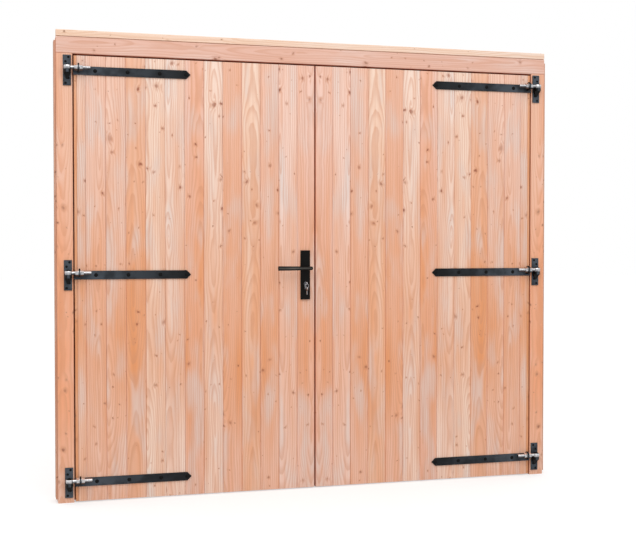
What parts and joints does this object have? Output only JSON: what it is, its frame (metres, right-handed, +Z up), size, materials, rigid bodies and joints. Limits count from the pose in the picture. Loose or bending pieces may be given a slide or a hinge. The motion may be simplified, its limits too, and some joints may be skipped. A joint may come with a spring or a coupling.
{
  "type": "double door with frame",
  "caption": "Ledged and braced timber double door in its frame: vertical boards, strap hinges with adjustable eyebolts, a lever lock on one leaf and shoot bolts on the other.",
  "frame": {"origin": "on the floor, midway between the jambs and midway through the thickness of the leaves", "axes": "+X to the right seen from outside, +Y into the building, +Z up"},
  "size_m": [2.378, 0.187, 2.09],
  "materials": {
    "boards": "planed, untreated",
    "frame_timber": "planed, untreated",
    "black_steel": "satin black powder coat",
    "zinc": "bright zinc plated",
    "brass": "plain"
  },
  "bodies": {
    "frame": {"left_jamb": "frame_timber", "right_jamb": "frame_timber", "head_rail": "frame_timber", "head_lath": "boards", "side_battens": "frame_timber", "left_top_pintle": "black_steel", "left_middle_pintle": "black_steel", "left_bottom_pintle": "black_steel", "right_top_pintle": "black_steel", "right_middle_pintle": "black_steel", "right_bottom_pintle": "black_steel", "hinge_pins": "black_steel", "frame_screws": "black_steel"},
    "left_leaf": {"left_boards": "boards", "left_meeting_board": "boards", "left_hinge_stile": "frame_timber", "left_lock_stile": "frame_timber", "left_top_ledge": "frame_timber", "left_middle_ledge": "frame_timber", "left_bottom_ledge": "frame_timber", "left_upper_brace": "frame_timber", "left_lower_brace": "frame_timber", "left_top_strap": "black_steel", "left_middle_strap": "black_steel", "left_bottom_strap": "black_steel", "left_eyebolts": "zinc", "left_adjusting_nuts": "zinc", "left_strap_bolts": "black_steel", "lock_case": "zinc", "lock_cylinder": "zinc", "outer_handle_plate": "black_steel", "inner_handle_plate": "black_steel", "handle_plate_bolts": "black_steel"},
    "lever": {"outer_lever": "black_steel", "inner_lever": "black_steel", "spindle": "zinc", "lock_follower": "brass"},
    "latch": {"latch_bolt": "brass"},
    "dead_bolt": {"dead_bolt": "zinc"},
    "key": {"cylinder_plug": "zinc", "key": "zinc", "spare_key": "zinc"},
    "right_leaf": {"right_boards": "boards", "right_hinge_stile": "frame_timber", "right_meeting_stile": "frame_timber", "right_top_ledge": "frame_timber", "right_middle_ledge": "frame_timber", "right_bottom_ledge": "frame_timber", "right_upper_brace": "frame_timber", "right_lower_brace": "frame_timber", "right_top_strap": "black_steel", "right_middle_strap": "black_steel", "right_bottom_strap": "black_steel", "right_eyebolts": "zinc", "right_adjusting_nuts": "zinc", "right_strap_bolts": "black_steel", "strike_plate": "zinc", "shoot_bolt_guides": "zinc"},
    "top_shoot_bolt": {"top_shoot_bolt": "zinc"},
    "bottom_shoot_bolt": {"bottom_shoot_bolt": "zinc"}
  },
  "joints": [
    {"name": "left_leaf_swing", "type": "hinge", "parent": "frame", "child": "left_leaf", "pos_m": [-1.133, -0.053, 0], "axis": [0, 0, -1], "range_deg": [0, 170]},
    {"name": "right_leaf_swing", "type": "hinge", "parent": "frame", "child": "right_leaf", "pos_m": [1.133, -0.053, 0], "axis": [0, 0, 1], "range_deg": [0, 170]},
    {"name": "lever_turn", "type": "hinge", "parent": "left_leaf", "child": "lever", "pos_m": [-0.0485, 0, 1.035], "axis": [0, -1, 0], "range_deg": [0, 35], "stiffness_Nm_per_rad": 1.5, "springref_deg": -34.38},
    {"name": "latch_slide", "type": "slide", "parent": "left_leaf", "child": "latch", "axis": [-1, 0, 0], "range_m": [0, 0.0055]},
    {"name": "key_turn", "type": "hinge", "parent": "left_leaf", "child": "key", "pos_m": [-0.0485, 0, 0.963], "axis": [0, 1, 0], "range_deg": [0, 360]},
    {"name": "dead_bolt_slide", "type": "slide", "parent": "left_leaf", "child": "dead_bolt", "axis": [1, 0, 0], "range_m": [0, 0.02]},
    {"name": "top_shoot_slide", "type": "slide", "parent": "right_leaf", "child": "top_shoot_bolt", "axis": [0, 0, 1], "range_m": [0, 0.025]},
    {"name": "bottom_shoot_slide", "type": "slide", "parent": "right_leaf", "child": "bottom_shoot_bolt", "axis": [0, 0, -1], "range_m": [0, 0.025]}
  ],
  "couplings": [
    {"joint": "latch_slide", "follows": "lever_turn", "m_per_rad": 0.009},
    {"joint": "dead_bolt_slide", "follows": "key_turn", "m_per_rad": 0.00318}
  ]
}
